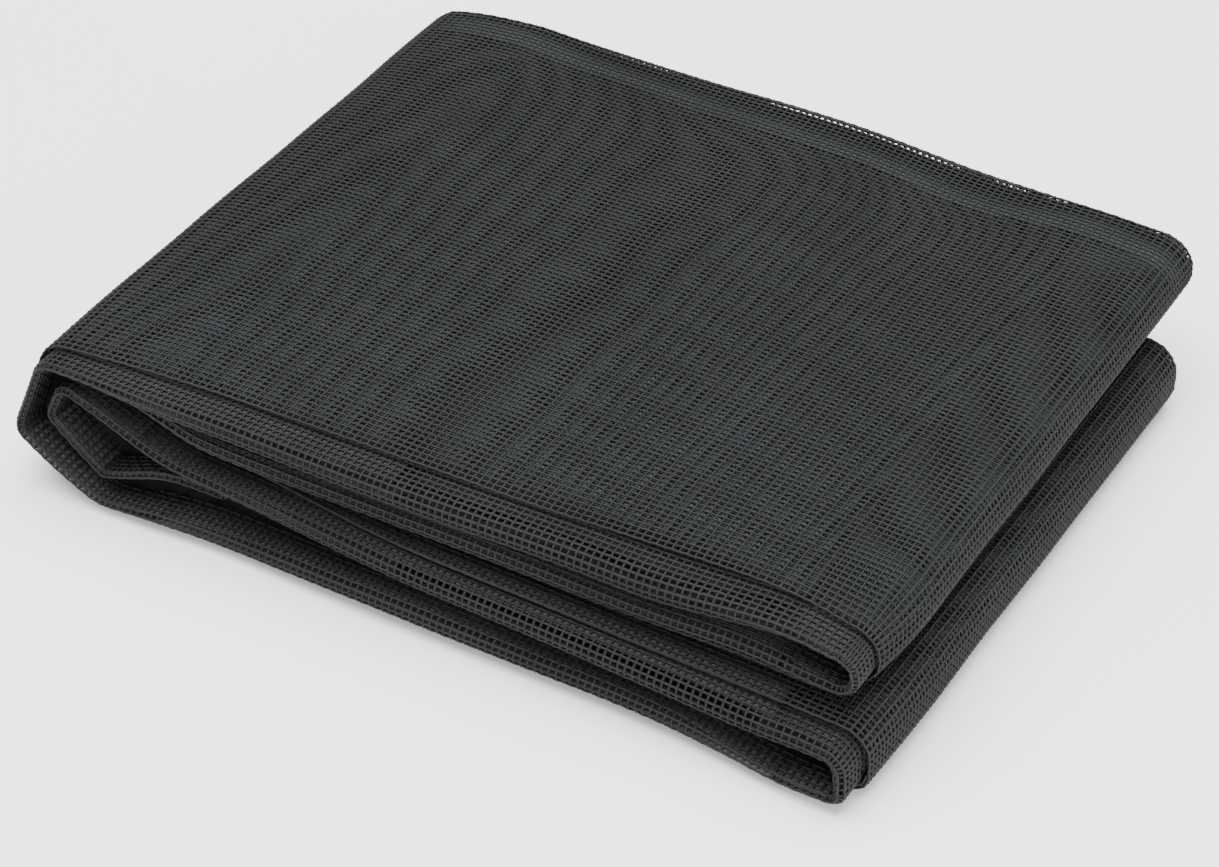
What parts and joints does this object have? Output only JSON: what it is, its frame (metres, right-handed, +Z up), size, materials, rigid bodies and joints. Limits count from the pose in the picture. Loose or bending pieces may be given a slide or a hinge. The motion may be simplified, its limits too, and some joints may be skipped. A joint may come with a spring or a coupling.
{
  "type": "insect screen",
  "caption": "Folded pack of charcoal insect-screen cloth: an open plain-weave mesh folded across its width, turned over itself lengthwise and lying flat.",
  "frame": {"origin": "middle of the pack's underside, on the surface that it lies on", "axes": "+X along the pack's longer side, towards its rounded loops; +Y from the open front folds to the back fold; +Z up"},
  "size_m": [0.2078, 0.1726, 0.0335],
  "materials": {
    "screen_cloth": "charcoal coated glass-fibre yarn in an open plain weave, satin"
  },
  "bodies": {
    "root": {"screen_cloth": "screen_cloth"}
  },
  "joints": []
}
